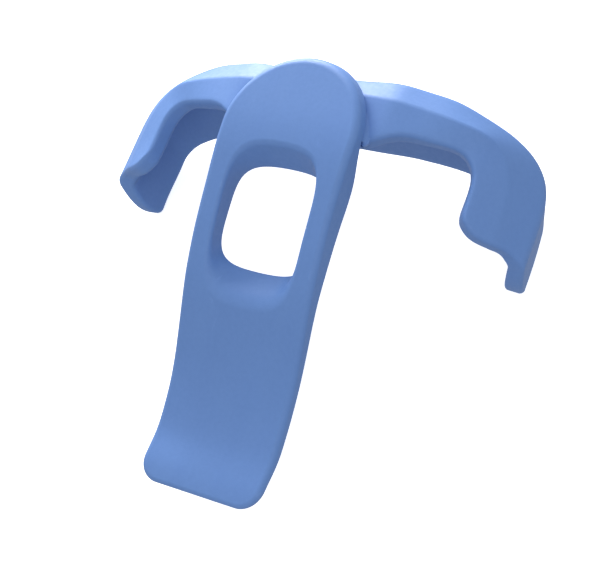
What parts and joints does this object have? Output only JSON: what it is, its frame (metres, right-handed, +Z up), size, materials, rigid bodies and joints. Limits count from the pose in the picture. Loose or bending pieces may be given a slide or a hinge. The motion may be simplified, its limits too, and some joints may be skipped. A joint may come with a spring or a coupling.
{
  "type": "sock aid",
  "caption": "Sock aid with a tongue-shaped blade that has a finger window, fixed across a wrap-round hoop with open legs.",
  "frame": {"origin": "on the table, under the middle of the aid as it lies on the back edges of its two legs", "axes": "+Z up, X across the aid, -Y towards the blade's lip"},
  "size_m": [0.1244, 0.1134, 0.0453],
  "materials": {
    "plastic": "satin, lightly grained"
  },
  "bodies": {
    "root": {"blade": "plastic", "hoop": "plastic"}
  },
  "joints": []
}
